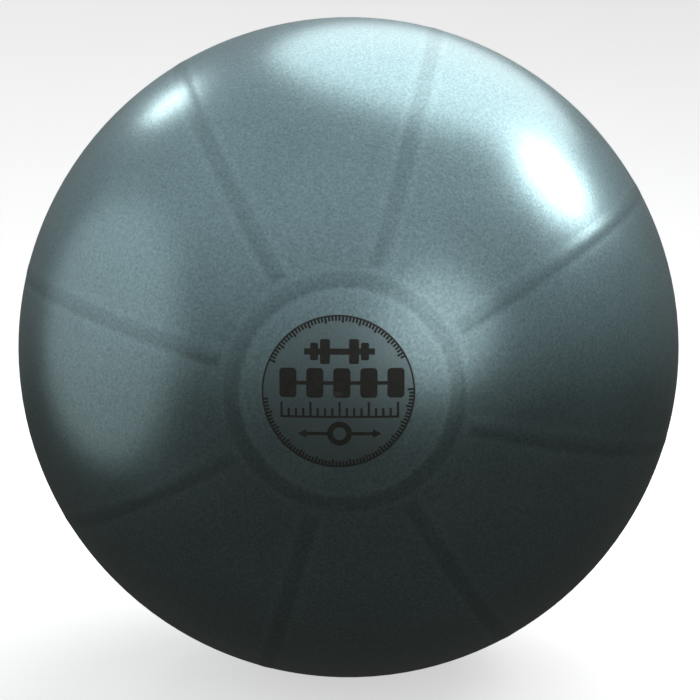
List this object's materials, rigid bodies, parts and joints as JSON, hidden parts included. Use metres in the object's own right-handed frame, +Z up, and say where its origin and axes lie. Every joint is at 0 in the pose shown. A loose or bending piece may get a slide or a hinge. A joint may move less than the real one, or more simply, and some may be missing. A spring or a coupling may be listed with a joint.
{
  "type": "exercise ball",
  "caption": "Large inflatable burst-resistant exercise ball of satin soft PVC with low moulded ribs, a ring and a printed label at one pole, and a push-in valve plug at the other.",
  "frame": {"origin": "centre of the ball", "axes": "+Z up, the moulding axis along Y: the labelled pole faces -Y, the front, and the valve is at the pole on +Y"},
  "size_m": [0.6499, 0.6501, 0.6498],
  "materials": {
    "satin_graphite_pvc": "satin, finely grained, pearl graphite",
    "soft_grey_pvc": "satin",
    "plug_plastic": "matte, moulded",
    "label_varnish": "smooth satin, a thin clear grey varnish",
    "dark_ink": "matte printed ink"
  },
  "bodies": {
    "ball": {"ball_shell": "satin_graphite_pvc", "valve_seat": "soft_grey_pvc", "label_film": "label_varnish", "print_edge_scale": "dark_ink", "print_barbell": "dark_ink", "print_load_bar": "dark_ink", "print_ruler": "dark_ink", "print_ball_size": "dark_ink"},
    "plug": {"valve_plug": "plug_plastic"}
  },
  "joints": [
    {"name": "plug_pull", "type": "slide", "parent": "ball", "child": "plug", "axis": [0, 1, 0], "range_m": [0, 0.05]}
  ]
}
